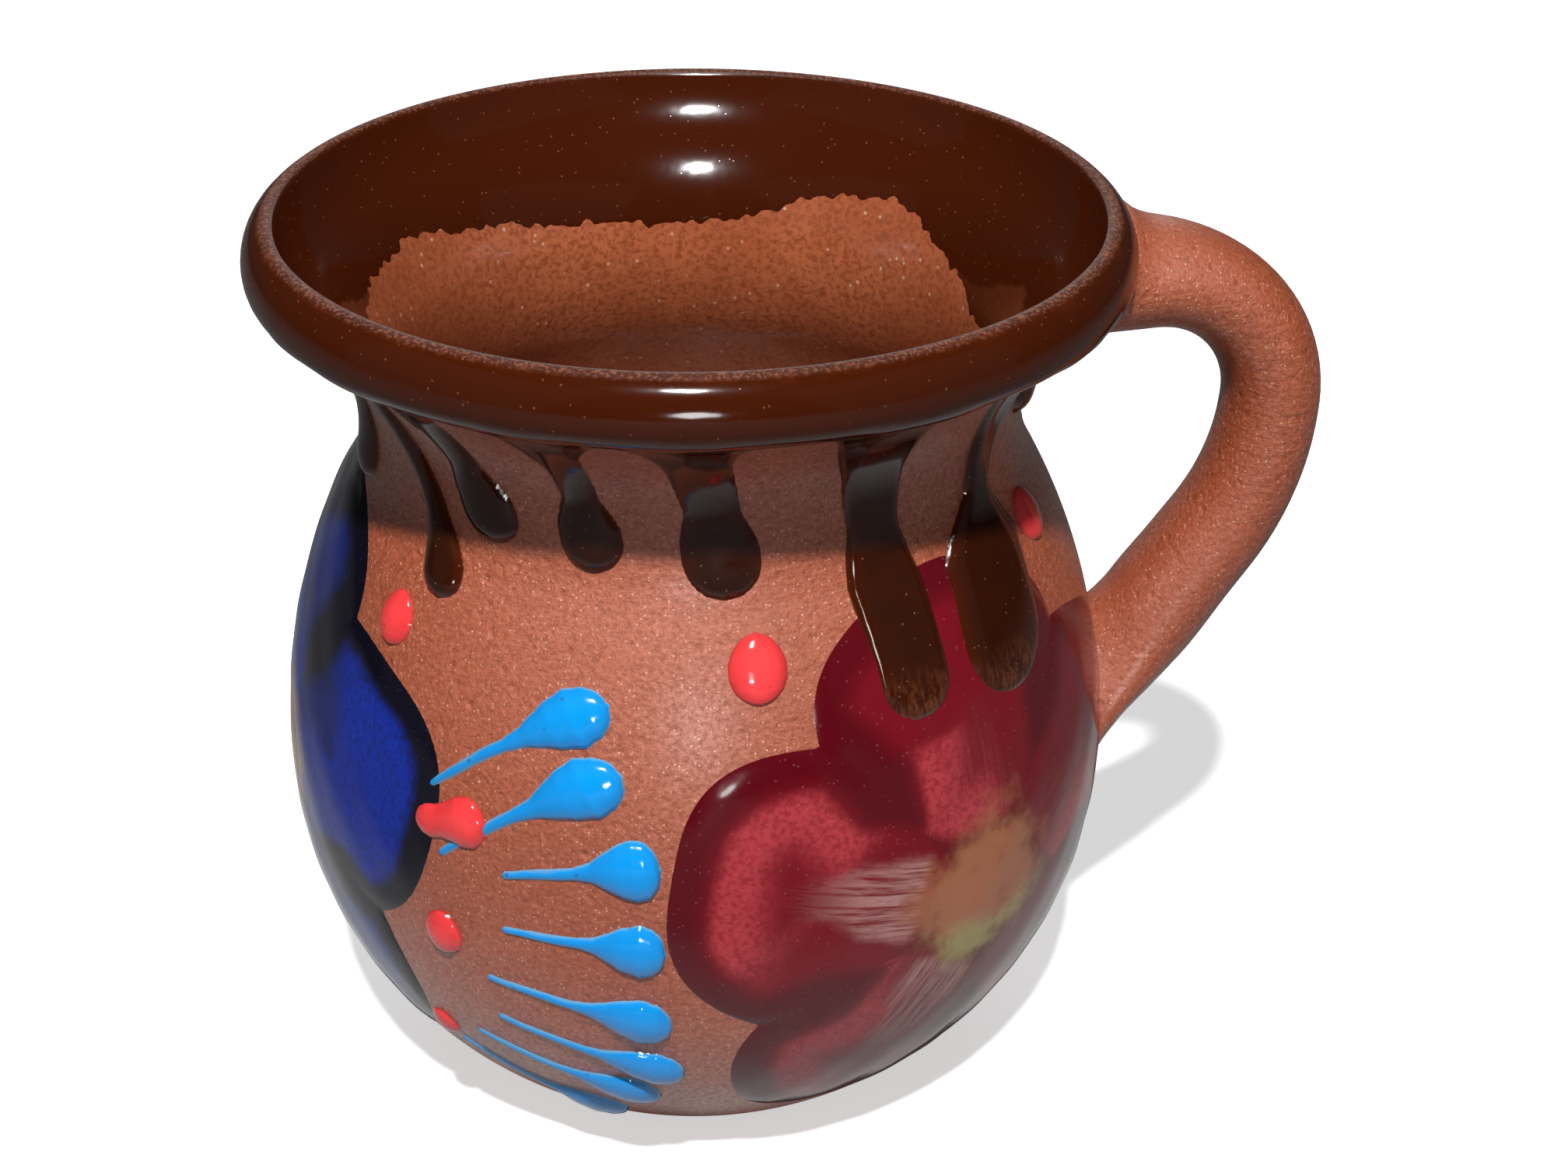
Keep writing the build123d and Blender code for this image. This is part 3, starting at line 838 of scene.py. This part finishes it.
# %% Short words for nodes
class Nodes:
    """Short words for the nodes of a material, a group or the world."""

    def __init__(self, tree):
        self.tree = tree

    def feed(self, socket, value):
        """Link a socket to a socket, or set it to a plain value."""
        if isinstance(value, bpy.types.NodeSocket):
            self.tree.links.new(value, socket)
        else:
            socket.default_value = value

    def node(self, kind, settings=None, **inputs):
        """A new node with its settings and inputs; an underscore stands for a space."""
        made = self.tree.nodes.new(kind)
        for key, value in (settings or {}).items():
            setattr(made, key, value)
        for key, value in inputs.items():
            self.feed(made.inputs[key.replace("_", " ")], value)
        return made

    def place(self):
        """The point's place on the piece itself."""
        return self.node("ShaderNodeTexCoord").outputs["Object"]

    def carried(self, label, output="Fac"):
        """What the mesh carries at each point under a label."""
        return self.node("ShaderNodeAttribute", {"attribute_name": label}).outputs[output]

    def apart(self, vector):
        """The x, y and z of a vector."""
        return tuple(self.node("ShaderNodeSeparateXYZ", Vector=vector).outputs)

    def together(self, x, y, z):
        """A vector from its x, y and z."""
        return self.node("ShaderNodeCombineXYZ", X=x, Y=y, Z=z).outputs[0]

    def noise(self, scale, detail=3.0, vector=None, rough=0.55):
        """Soft noise, from 0 to 1."""
        vector = vector or self.place()
        made = self.node("ShaderNodeTexNoise", Vector=vector, Scale=scale, Detail=detail, Roughness=rough)
        return made.outputs["Fac"]

    def span(self, value, low, high, start=0.0, end=1.0, shape="SMOOTHSTEP"):
        """Go from start to end while a value goes from low to high."""
        made = self.node("ShaderNodeMapRange", {"interpolation_type": shape}, Value=value)
        for key, number in (("From Min", low), ("From Max", high), ("To Min", start), ("To Max", end)):
            made.inputs[key].default_value = number
        return made.outputs["Result"]

    def calc(self, kind, first, second=0.0, third=0.0):
        """One sum with up to three numbers."""
        made = self.node("ShaderNodeMath", {"operation": kind})
        for socket, value in zip(made.inputs, (first, second, third)):
            self.feed(socket, value)
        return made.outputs[0]

    def times(self, first, second):
        """Two numbers multiplied."""
        return self.calc("MULTIPLY", first, second)

    def mix(self, share, first, second):
        """A share of the second colour over the first, on a mix node's colour sockets."""
        made = self.node("ShaderNodeMix", {"data_type": "RGBA"})
        for number, value in ((0, share), (6, first), (7, second)):
            self.feed(made.inputs[number], value)
        return made.outputs[2]


print("words for nodes:", [word for word in vars(Nodes) if not word.startswith("_")])


# %% A finish and a group
class Finish(Nodes):
    """A material with its Principled shader."""

    def __init__(self, name):
        self.material = bpy.data.materials.new(name)
        self.material.use_nodes = True
        super().__init__(self.material.node_tree)
        self.shader = self.tree.nodes["Principled BSDF"]

    def set(self, **inputs):
        """Feed the shader's own sockets."""
        for key, value in inputs.items():
            self.feed(self.shader.inputs[key.replace("_", " ")], value)

    def bump(self, height, strength, distance):
        """Turn the shader's normal by a height."""
        made = self.node("ShaderNodeBump", Height=height, Strength=strength, Distance=distance)
        self.set(Normal=made.outputs["Normal"])

    def group(self, group, **inputs):
        """Place a group with its own values, and give its outputs."""
        made = self.node("ShaderNodeGroup", {"node_tree": group.tree}, **inputs)
        return made.outputs

    def cover(self, *pieces):
        """Give the finish to pieces."""
        for piece in pieces:
            piece.data.materials.append(self.material)
        print(self.material.name, "on", len(pieces), "pieces,", len(self.tree.nodes), "nodes")


def node_group(name, inputs, outputs):
    """A shader group, and the sockets of its named number inputs and outputs."""
    group = bpy.data.node_groups.new(name, "ShaderNodeTree")
    for label, value in inputs.items():
        socket = group.interface.new_socket(label, in_out="INPUT", socket_type="NodeSocketFloat")
        socket.default_value = value
    for label in outputs:
        group.interface.new_socket(label, in_out="OUTPUT", socket_type="NodeSocketFloat")
    nodes = Nodes(group)
    return nodes, nodes.node("NodeGroupInput").outputs, nodes.node("NodeGroupOutput").inputs


print("words for a finish:", [word for word in vars(Finish) if not word.startswith("_")])

# %% Grit and grain groups
grit, grit_in, grit_out = node_group("melted_grit", {"Scale": 900.0, "Share": 0.1}, ["Specks", "Ripple"])
spots = grit.node("ShaderNodeTexVoronoi", Vector=grit.place(), Scale=grit_in["Scale"]).outputs
lot = grit.node("ShaderNodeSeparateColor", Color=spots["Color"]).outputs[0]
picked = grit.calc("LESS_THAN", lot, grit_in["Share"])
near_spot = grit.span(spots["Distance"], 0.34, 0.12, shape="LINEAR")
grit.feed(grit_out["Specks"], grit.times(picked, near_spot))
grit.feed(grit_out["Ripple"], grit.noise(260.0, 2.0, None, 0.5))

grain, grain_in, grain_out = node_group("sandy_grain", {"Scale": 1600.0}, ["Sand", "Pits"])
pits = grain.node("ShaderNodeTexVoronoi", Vector=grain.place(), Scale=520.0).outputs["Distance"]
grain.feed(grain_out["Sand"], grain.noise(grain_in["Scale"], 5.0, None, 0.7))
grain.feed(grain_out["Pits"], grain.span(pits, 0.05, 0.3, shape="LINEAR"))
print("groups:", [group.name for group in bpy.data.node_groups])

# %% [markdown]
# ## Clay
# Bare terracotta is an orange ground full of darker and paler sand, and specks of grit are
# painted bright as glints, a painted highlight.  One flat colour would look like plastic.  Sand of
# one size gives colour, gloss and relief together, so a pale grain is also a shiny one; faint
# throwing rings run round the neck.

# %% Clay
clay_ground = (0.32, 0.063, 0.019, 1)
clay_warm = (0.38, 0.084, 0.03, 1)
clay_dark_sand = (0.235, 0.045, 0.014, 1)
clay_pale_sand = (0.58, 0.23, 0.14, 1)
# pale colour for the painted glints: grit specks lit up as a painted highlight
clay_painted_glint = (0.78, 0.46, 0.33, 1)
clay = Finish("terracotta")
sandy = clay.group(grain, Scale=2000.0)
sand = sandy["Sand"]
tone = clay.mix(clay.span(clay.noise(30.0, 4.0), 0.34, 0.68), clay_ground, clay_warm)
tone = clay.mix(clay.span(sand, 0.32, 0.6), clay_dark_sand, tone)
tone = clay.mix(clay.span(sand, 0.58, 0.78, 0.0, 0.7), tone, clay_pale_sand)
# specks of grit painted bright as glints, a painted highlight on the clay
painted_glints = clay.group(grit, Scale=2600.0, Share=0.2)["Specks"]
tone = clay.mix(clay.times(painted_glints, 0.65), tone, clay_painted_glint)
clay.set(Base_Color=tone, Specular_IOR_Level=0.7, Coat_Roughness=0.34, Coat_IOR=1.6)
clay.set(Coat_Weight=clay.span(sand, 0.38, 0.62, 0.3, 1.0))
clay.set(Roughness=clay.span(sand, 0.3, 0.75, 0.36, 0.5))
x, y, z = clay.apart(clay.place())
rings = clay.noise(75.0, 3.0, clay.together(x, y, clay.times(z, 11.0)), 0.6)
on_neck = clay.times(clay.span(z, 0.060, 0.074), clay.span(z, 0.100, 0.092))
relief = clay.calc("ADD", clay.times(sand, 0.5), clay.times(sandy["Pits"], 0.25))
relief = clay.calc("ADD", relief, clay.times(clay.times(rings, on_neck), 0.45))
clay.bump(relief, 1.0, 0.00045)
clay.cover(clay_body, handle)

# %% [markdown]
# ## Clear glaze
# Inside, clear glaze darkens the clay a little and makes it shine.  A see-through shell would be
# truer but grainy to render, so the lining has the clay's own colours under a thin coat, with
# specks of grit painted bright as glints.

# %% Clear glaze over the clay inside
lining_ground = (0.3, 0.075, 0.029, 1)
lining_warm = (0.38, 0.105, 0.043, 1)
lining_sand = (0.2, 0.046, 0.017, 1)
# pale colour for the painted glints on the lining's grit
lining_painted_glint = (0.7, 0.45, 0.32, 1)
lining = Finish("clear_lining")
sand = lining.group(grain)["Sand"]
tone = lining.mix(lining.span(lining.noise(60.0, 4.0), 0.35, 0.7), lining_ground, lining_warm)
tone = lining.mix(lining.span(sand, 0.34, 0.6), lining_sand, tone)
# specks of grit painted bright as glints, a painted highlight inside the bowl
painted_glints = lining.group(grit, Scale=1200.0, Share=0.06)["Specks"]
tone = lining.mix(lining.times(painted_glints, 0.55), tone, lining_painted_glint)
lining.set(Base_Color=tone, Roughness=0.24, Coat_Weight=0.25, Coat_Roughness=0.1)
lining.bump(sand, 0.2, 0.0002)
lining.cover(bowl_lining)

# %% [markdown]
# ## Brown glaze
# The dip is red-brown where it is thin and near black in a thick run.  The sheet carries its own
# height, so the colour follows it; the ends of the long runs fray into streaks, and the crest is
# rubbed dull and dusty.

# %% Brown glaze
brown_thin = (0.088, 0.015, 0.003, 1)
brown_full = (0.039, 0.0058, 0.0009, 1)
brown_thick = (0.021, 0.0036, 0.0008, 1)
brown_frayed = (0.14, 0.036, 0.011, 1)
brown_speck = (0.36, 0.15, 0.07, 1)
brown_rubbed = (0.25, 0.085, 0.04, 1)
crest_z = (dip_path[:, 1].max() + 0.14) * MM
crest_depth = 0.0005
brown = Finish("brown_dip")
gritty = brown.group(grit, Scale=2500.0, Share=0.04)
cloud = brown.calc("SUBTRACT", brown.noise(210.0, 5.0, None, 0.65), 0.5)
depth = brown.calc("MULTIPLY_ADD", cloud, 0.35, brown.carried("film"))
tone = brown.mix(brown.span(depth, 0.0, 0.2), brown_thin, brown_full)
tone = brown.mix(brown.span(depth, 0.35, 1.0), tone, brown_thick)
x, y, z = brown.apart(brown.place())
streaks = brown.noise(2100.0, 3.0, brown.together(x, y, brown.times(z, 0.18)), 0.6)
frayed = brown.times(brown.carried("fringe"), brown.span(streaks, 0.4, 0.62))
tone = brown.mix(brown.times(frayed, 0.6), tone, brown_frayed)
tone = brown.mix(brown.times(gritty["Specks"], 0.4), tone, brown_speck)
crest = brown.span(z, crest_z - crest_depth, crest_z)
rubbed = brown.times(crest, brown.span(brown.noise(2600.0, 2.0), 0.46, 0.64))
tone = brown.mix(brown.times(rubbed, 0.6), tone, brown_rubbed)
brown.set(Base_Color=tone, Specular_IOR_Level=0.38)
brown.set(Roughness=brown.calc("MULTIPLY_ADD", crest, 0.55, 0.1))
brown.bump(brown.calc("MULTIPLY_ADD", gritty["Specks"], 0.3, gritty["Ripple"]), 0.09, 0.0004)
brown.cover(rim_dip)

# %% [markdown]
# ## Petals
# A petal is painted with a loaded brush: a dark line where the glaze pools at the edge, a bright
# stroke inside it, and pale streaks by the eye that are partly dry brush and partly a painted
# reflection.  Flat colours with hard borders would look printed, so every border is moved a little
# by the same soft cloud.


# %% Petals
def petal_finish(name, line, body, bright, pale_streak_and_reflection, eye_high, eye_low, border, wide, swing):
    """Brushed petals: dark edge line, bright loaded stroke, pale streaks by the eye, partly a painted
    reflection.
    """
    petal = Finish(name)
    across, climb, owner = petal.apart(petal.carried("flower", "Vector"))
    along, aside, _ = petal.apart(petal.carried("brush", "Vector"))
    cloud = petal.calc("SUBTRACT", petal.noise(140.0, 5.0, None, 0.6), 0.5)

    edge = petal.calc("MULTIPLY_ADD", cloud, 2.4, petal.carried("edge"))
    fill = petal.mix(petal.span(edge, 2.0, 5.5), line, body)
    lit = petal.calc("MULTIPLY_ADD", cloud, 0.9, petal.carried("lit"))
    inner_line = petal.span(edge, wide, wide * 0.6)
    band = petal.times(petal.span(edge, border, border + 2.0), inner_line)
    stroke = petal.times(petal.span(lit, swing, swing + 0.7), band)
    crawl = petal.noise(1700.0, 3.0, None, 0.6)
    stroke = petal.times(stroke, petal.span(crawl, 0.34, 0.6, 0.45, 1.0))
    fill = petal.mix(stroke, fill, bright)

    # pale streaks by the eye: dry brush strokes that also carry a painted reflection
    hairs = petal.together(petal.times(aside, 1.9), petal.times(along, 0.1), owner)
    brush = petal.noise(1.0, 4.0, hairs, 0.65)
    ragged = petal.calc("MULTIPLY_ADD", brush, 16.0, along)
    reach = petal.times(petal.span(along, 8.2, 10.0), petal.span(ragged, 33.0, 23.0))
    taper = petal.calc("MULTIPLY_ADD", along, 0.2, aside)
    narrow = petal.span(petal.calc("MULTIPLY_ADD", cloud, 5.0, taper), 8.0, 5.4)
    streaks_and_reflection = petal.times(petal.times(reach, narrow), petal.span(brush, 0.34, 0.62))
    loaded = petal.calc("COMPARE", owner, 1.5, 0.75)
    streaks_and_reflection = petal.times(streaks_and_reflection, petal.calc("MULTIPLY_ADD", loaded, 0.6, 0.04))
    fill = petal.mix(streaks_and_reflection, fill, pale_streak_and_reflection)

    square = petal.calc("MULTIPLY_ADD", across, across, petal.times(climb, climb))
    round_eye = petal.calc("MULTIPLY_ADD", cloud, 14.0, petal.calc("SQRT", square))
    low = petal.calc("MULTIPLY_ADD", cloud, 9.0, climb)
    eye = petal.mix(petal.span(low, -5.5, -2.0), eye_low, eye_high)
    eye = petal.mix(petal.span(petal.calc("ABSOLUTE", cloud), 0.04, 0.3, 0.0, 0.55), eye, body)
    fill = petal.mix(petal.span(round_eye, 11.0, 6.0, 0.0, 0.9), fill, eye)

    gritty = petal.group(grit, Scale=2300.0, Share=0.1)
    fill = petal.mix(petal.times(gritty["Specks"], 0.13), fill, pale_streak_and_reflection)
    petal.set(Base_Color=fill, Roughness=0.14, Specular_IOR_Level=0.35)
    petal.bump(gritty["Ripple"], 0.11, 0.0004)
    return petal


red_petals = petal_finish(
    "red_petals",
    line=(0.075, 0.0016, 0.005, 1),
    body=(0.14, 0.0035, 0.009, 1),
    bright=(0.34, 0.032, 0.042, 1),
    # pale streaks by the eye, partly a painted reflection
    pale_streak_and_reflection=(0.46, 0.27, 0.25, 1),
    eye_high=(0.33, 0.125, 0.06, 1),
    eye_low=(0.34, 0.28, 0.1, 1),
    border=3.6,
    wide=12.0,
    swing=-0.3,
)
blue_petals = petal_finish(
    "blue_petals",
    line=(0.003, 0.0025, 0.007, 1),
    body=(0.003, 0.009, 0.1, 1),
    bright=(0.004, 0.02, 0.26, 1),
    # pale streaks by the eye, partly a painted reflection
    pale_streak_and_reflection=(0.06, 0.08, 0.2, 1),
    eye_high=(0.42, 0.2, 0.05, 1),
    eye_low=(0.42, 0.36, 0.1, 1),
    border=2.4,
    wide=26.0,
    swing=-1.1,
)
red_petals.cover(flower_pieces["red"], flower_pieces["rear"])
blue_petals.cover(flower_pieces["blue"])

# %% [markdown]
# ## Trailed glaze
# The drops are thick enough to hide the clay, but their tails and edges let it through.  The film
# height that each drop carries sets how full its colour is, and burst bubbles leave pinholes.


# %% Sky-blue and red drops
def trail_finish(name, thick, lean, tail, pinhole):
    """Trailed glaze: full colour in the bead, weaker in the tail, with tiny pinholes."""
    trail = Finish(name)
    holes = trail.group(grit, Scale=1150.0, Share=0.06)
    cloud = trail.calc("SUBTRACT", trail.noise(420.0, 4.0), 0.5)
    depth = trail.calc("MULTIPLY_ADD", cloud, 0.3, trail.carried("film"))
    tone = trail.mix(trail.span(depth, 0.5, 1.2), lean, thick)
    tone = trail.mix(trail.span(depth, 0.05, 0.3), tail, tone)
    tone = trail.mix(trail.times(holes["Specks"], 0.7), tone, pinhole)
    trail.set(Base_Color=tone, Roughness=0.12, Coat_Weight=0.2, Coat_Roughness=0.04)
    trail.bump(trail.calc("MULTIPLY_ADD", holes["Specks"], -0.8, holes["Ripple"]), 0.1, 0.0003)
    return trail


sky = trail_finish(
    "sky_blue_trail",
    thick=(0.002, 0.25, 0.66, 1),
    lean=(0.005, 0.22, 0.58, 1),
    tail=(0.1, 0.26, 0.42, 1),
    pinhole=(0.02, 0.07, 0.14, 1),
)
ruddy = trail_finish(
    "red_dab",
    thick=(0.78, 0.05, 0.055, 1),
    lean=(0.62, 0.035, 0.038, 1),
    tail=(0.4, 0.03, 0.028, 1),
    pinhole=(0.35, 0.02, 0.02, 1),
)
sky.cover(*sky_drops)
ruddy.cover(*red_dabs)

# %% [markdown]
# ## Camera, floor and light
# The camera stands where the photograph was taken, above the rim.  One broad lamp would wash out
# the small highlights on the glaze, so the key lamp is small and high in front, a low one in front
# gives the belly its sheen, two weak ones fill the sides and one stands behind.  The floor is pale
# to the camera; the mug sees it as a dim floor with a painted pool of light, a pale sheet just
# around the foot, that shows only in its reflections.

# %% Camera
photo_width = 2016
focal_pixels = 3000
right = Vector((0.99924, -0.03797, 0.00893))
up = Vector((0.01121, 0.49890, 0.86659))
back = -Vector((0.03736, 0.86583, -0.49894))
eye = Vector((0.0, -0.2283, 0.1848))
camera_data = bpy.data.cameras.new("camera")
camera_data.sensor_width = 36.0
camera_data.lens = focal_pixels / photo_width * camera_data.sensor_width
camera_data.clip_start = 0.01
camera = bpy.data.objects.new("camera", camera_data)
bpy.context.scene.collection.objects.link(camera)
camera.matrix_world = Matrix.Translation(eye) @ Matrix((right, up, back)).transposed().to_4x4()
bpy.context.scene.camera = camera
bpy.context.scene.view_settings.view_transform = "Standard"
print("camera lens:", round(camera_data.lens, 2))


# %% Floor
def grey(level):
    """A grey of a level, as a colour."""
    return (level, level, level, 1)


floor_seen = grey(0.86)
floor_glow = grey(0.55)
floor_dim = grey(0.1)
# a painted pool of light on the floor round the foot, seen only in reflections
painted_pool_near = grey(0.42)
painted_pool_far = grey(0.12)
fresh()
bpy.ops.mesh.primitive_plane_add(size=6)
ground = named("pale_floor")
pale_floor = Finish("pale_floor")
path = pale_floor.node("ShaderNodeLightPath").outputs
away = pale_floor.node("ShaderNodeVectorMath", {"operation": "LENGTH"}, Vector=pale_floor.place())
# the painted pool of light: the floor is pale near the foot for reflections and dim further off
sheet = pale_floor.mix(pale_floor.span(away.outputs["Value"], 0.06, 0.13), painted_pool_near, painted_pool_far)
mirrored = pale_floor.mix(path["Is Glossy Ray"], floor_dim, sheet)
pale_floor.set(Base_Color=pale_floor.mix(path["Is Camera Ray"], mirrored, floor_seen))
pale_floor.set(Emission_Color=pale_floor.mix(path["Is Camera Ray"], grey(0), floor_glow))
pale_floor.set(Roughness=0.9, Emission_Strength=1.0)
pale_floor.cover(ground)

# %% World
dim_sky = 0.03
white_sky = 1.0
world = bpy.data.worlds.new("studio")
bpy.context.scene.world = world
world.use_nodes = True
studio = Nodes(world.node_tree)
sky_light = world.node_tree.nodes["Background"]
sky_light.inputs["Color"].default_value = grey(1)
seen = studio.node("ShaderNodeLightPath").outputs["Is Camera Ray"]
studio.feed(sky_light.inputs["Strength"], studio.span(seen, 0.0, 1.0, dim_sky, white_sky))
print("world nodes:", len(world.node_tree.nodes))

# %% Lamps
mug_middle = Vector((0, 0, 0.05))


def lamp(name, place, size, watts, shape="DISK"):
    """A soft lamp at a place in metres, turned to the middle of the mug."""
    data = bpy.data.lights.new(name, "AREA")
    data.shape = shape
    data.size = size
    data.energy = watts
    made = bpy.data.objects.new(name, data)
    bpy.context.scene.collection.objects.link(made)
    made.location = place
    made.rotation_euler = (mug_middle - Vector(place)).to_track_quat("-Z", "Y").to_euler()


lamp("key", (-0.03, -0.56, 0.94), 0.06, 17.5)
lamp("front", (0.0, -1.0, 0.2), 0.18, 1.7)
lamp("left", (-0.9, -0.5, 0.5), 1.2, 0.3, "SQUARE")
lamp("right", (0.9, -0.6, 0.5), 1.2, 0.3, "SQUARE")
lamp("back", (0.0, 1.3, 0.5), 0.9, 4.0)
print("lamps:", len(bpy.data.lights))
